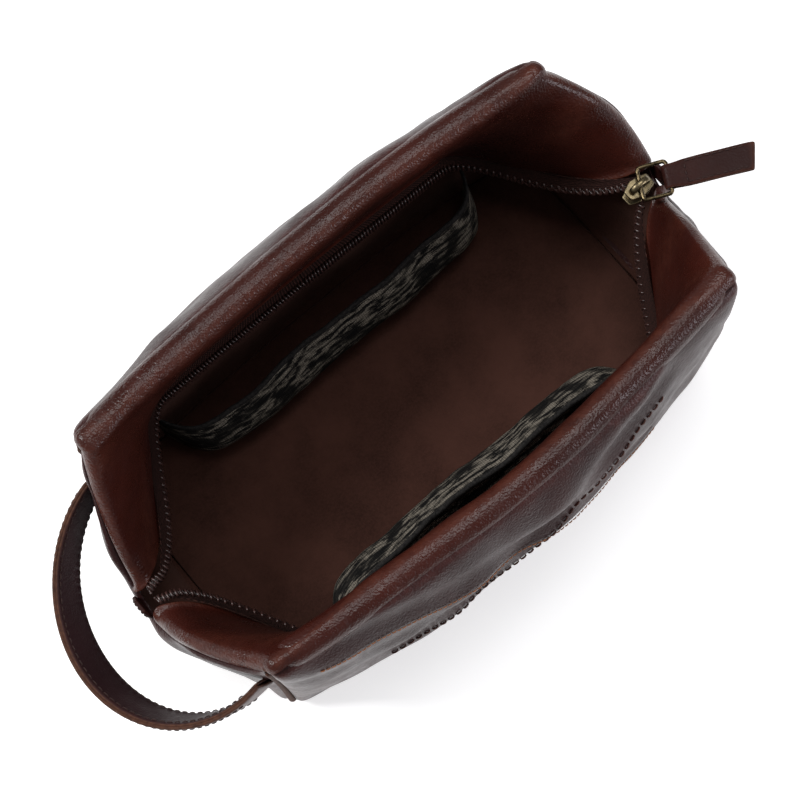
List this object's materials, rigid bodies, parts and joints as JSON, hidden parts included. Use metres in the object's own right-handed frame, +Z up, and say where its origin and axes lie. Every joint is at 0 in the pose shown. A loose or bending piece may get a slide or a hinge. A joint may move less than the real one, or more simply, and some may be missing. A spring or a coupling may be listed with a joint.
{
  "type": "shaving kit bag",
  "caption": "Open box-shaped leather wash bag with a full-length top zip, folding flaps, inner fabric pockets, a leather zip pull and an end handle loop.",
  "frame": {"origin": "centre of the base on the surface it stands on", "axes": "+X along the zip toward the end where the open slider sits, +Y toward the back wall, +Z up out of the mouth"},
  "size_m": [0.3693, 0.172, 0.1247],
  "materials": {
    "bag_leather": "glossy pull-up",
    "ridge_leather": "glossy, polished ridges",
    "seam_leather": "raw turned edge",
    "trim_leather": "satin",
    "handle_leather": "satin",
    "handle_lining": "satin",
    "suede_lining": "napped",
    "stiffener": "matte board",
    "pocket_weave": "slubbed weave",
    "pocket_binding": "folded hem",
    "zip_tape": "ribbed weave",
    "zip_coil": "satin nylon",
    "antique_brass": "antiqued",
    "orange_thread": "waxed thread",
    "brown_thread": "waxed thread"
  },
  "bodies": {
    "shell": {"base_panel": "bag_leather", "base_board": "stiffener", "base_lining": "suede_lining", "front_wall": "bag_leather", "back_wall": "bag_leather", "left_end_wall": "bag_leather", "right_end_wall": "bag_leather", "front_lining": "suede_lining", "back_lining": "suede_lining", "left_end_lining": "suede_lining", "right_end_lining": "suede_lining", "front_ridge_roll": "ridge_leather", "back_ridge_roll": "ridge_leather", "front_ridge_seam": "seam_leather", "back_ridge_seam": "seam_leather", "corner_welts": "seam_leather", "front_topstitch": "orange_thread", "left_zip_tab": "trim_leather", "right_zip_tab": "trim_leather", "front_pocket": "pocket_weave", "front_pocket_hem": "pocket_binding", "back_pocket": "pocket_weave", "back_pocket_hem": "pocket_binding", "front_left_gusset": "bag_leather", "front_right_gusset": "bag_leather", "back_left_gusset": "bag_leather", "back_right_gusset": "bag_leather", "left_tape_ends": "zip_tape", "right_tape_ends": "zip_tape", "handle_roots": "handle_leather"},
    "back_flap": {"back_flap_leather": "bag_leather", "back_flap_lining": "suede_lining", "back_zip_tape": "zip_tape", "back_zip_coil": "zip_coil"},
    "front_flap": {"front_flap_leather": "bag_leather", "front_flap_lining": "suede_lining", "front_zip_tape": "zip_tape", "front_zip_coil": "zip_coil"},
    "slider": {"slider_body": "antique_brass", "slider_crown": "antique_brass"},
    "pull_ring": {"pull_ring": "antique_brass"},
    "pull_tab": {"pull_tab": "trim_leather", "pull_tab_stitching": "brown_thread"},
    "handle": {"handle_strap": "handle_leather", "handle_backing": "handle_lining"}
  },
  "joints": [
    {"name": "back_flap_fold", "type": "hinge", "parent": "shell", "child": "back_flap", "pos_m": [0, 0.065, 0.118], "axis": [-1, 0, 0], "range_deg": [0, 57], "deforming": ["front_left_gusset", "front_right_gusset", "back_left_gusset", "back_right_gusset", "left_tape_ends", "right_tape_ends"]},
    {"name": "front_flap_fold", "type": "hinge", "parent": "shell", "child": "front_flap", "pos_m": [0, -0.065, 0.118], "axis": [1, 0, 0], "range_deg": [0, 57]},
    {"name": "zip_slide", "type": "slide", "parent": "shell", "child": "slider", "axis": [-1, 0, 0], "range_m": [0, 0.268]},
    {"name": "ring_swing", "type": "hinge", "parent": "slider", "child": "pull_ring", "pos_m": [0.1345, 0, 0.0798], "axis": [-0.4848, -0.8746, 0], "range_deg": [0, 130]},
    {"name": "tab_swing", "type": "hinge", "parent": "pull_ring", "child": "pull_tab", "pos_m": [0.14553, -0.00612, 0.08295], "axis": [-0.4848, -0.8746, 0], "range_deg": [-45, 45]},
    {"name": "handle_swing", "type": "hinge", "parent": "shell", "child": "handle", "pos_m": [-0.128, 0, 0.088], "axis": [0, 1, 0], "range_deg": [-22, 35]}
  ],
  "couplings": [
    {"joint": "front_flap_fold", "follows": "back_flap_fold", "ratio": 1},
    {"joint": "zip_slide", "follows": "back_flap_fold", "m_per_rad": 0.2693}
  ]
}
